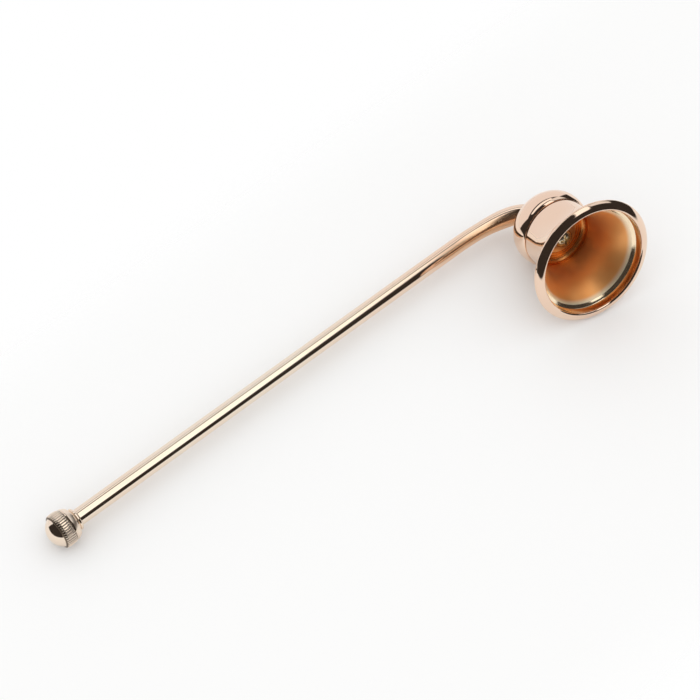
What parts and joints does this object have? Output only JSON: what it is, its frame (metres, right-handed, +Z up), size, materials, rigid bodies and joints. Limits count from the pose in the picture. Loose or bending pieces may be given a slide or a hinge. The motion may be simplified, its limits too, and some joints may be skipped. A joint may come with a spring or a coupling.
{
  "type": "candle snuffer",
  "caption": "Candle snuffer: a small flared bell under a round cap, on the bent neck of a long slim handle with a reeded ball end; the bell swivels on its screw.",
  "frame": {"origin": "centre of the box round the snuffer as it lies, on the surface that it lies on", "axes": "+X along the handle from the bell to the ball, +Y the way the mouth of the bell faces, +Z up"},
  "size_m": [0.1654, 0.0442, 0.0323],
  "materials": {
    "rose_gold": "mirror-polished rose gold plating",
    "bell_copper": "polished rose gold plating outside, satin copper tone inside",
    "screw_steel": "bright plated steel"
  },
  "bodies": {
    "handle": {"handle_rod": "rose_gold", "end_knob": "rose_gold", "flat_washer": "bell_copper", "spring_washer": "screw_steel", "bell_screw": "screw_steel"},
    "bell_head": {"bell": "bell_copper", "crown": "rose_gold"}
  },
  "joints": [
    {"name": "bell_swivel", "type": "hinge", "parent": "handle", "child": "bell_head", "pos_m": [-0.06882, 0.00066, 0.01125], "axis": [0.1849, 0.9307, 0.3156], "continuous": true}
  ]
}
